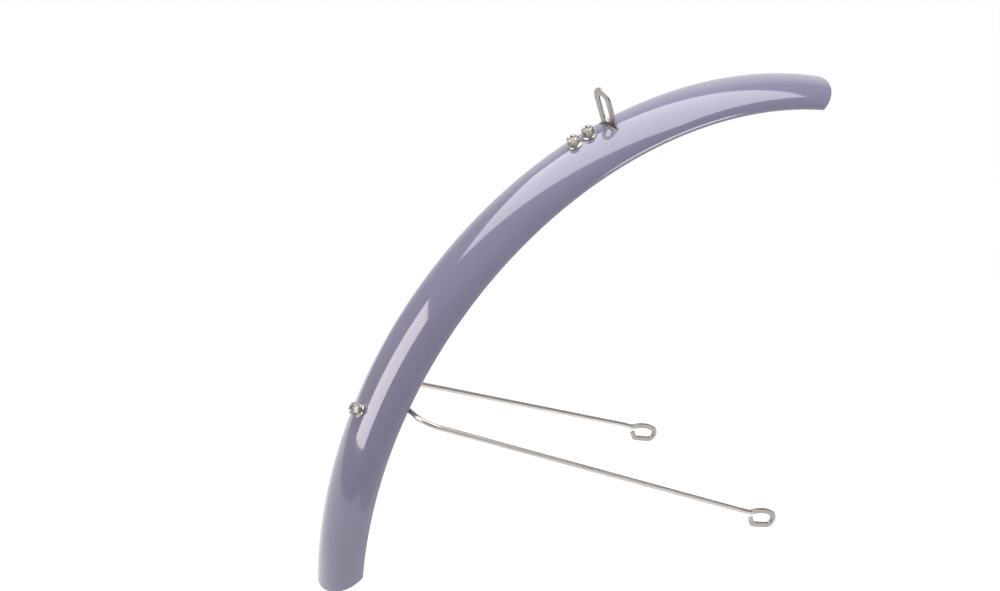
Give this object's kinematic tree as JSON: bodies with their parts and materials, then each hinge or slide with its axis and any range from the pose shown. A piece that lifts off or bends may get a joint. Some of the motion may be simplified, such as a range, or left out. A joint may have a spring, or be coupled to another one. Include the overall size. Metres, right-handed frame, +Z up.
{
  "type": "bicycle mudguard",
  "caption": "Painted half-oval bicycle front mudguard with rolled edges, a slotted bracket for the fork crown and a bent wire stay with open eyes for the fork ends.",
  "frame": {"origin": "centre of the bracket's slot, in the middle of the tab's thickness", "axes": "+X forward along the fork-crown bolt, +Y to the left side of the bicycle, +Z up along the fork"},
  "size_m": [0.5261, 0.17, 0.381],
  "materials": {
    "paint": "gloss lavender-grey paint",
    "bracket_steel": "satin stainless strip",
    "wire_steel": "satin stainless wire",
    "plating": "bright nickel plating"
  },
  "bodies": {
    "root": {"blade": "paint", "crown_bracket": "bracket_steel", "bracket_bolts": "plating", "bracket_nuts": "plating", "stay": "wire_steel", "stay_bolt": "plating", "stay_nut": "plating", "stay_washers": "plating"}
  },
  "joints": []
}
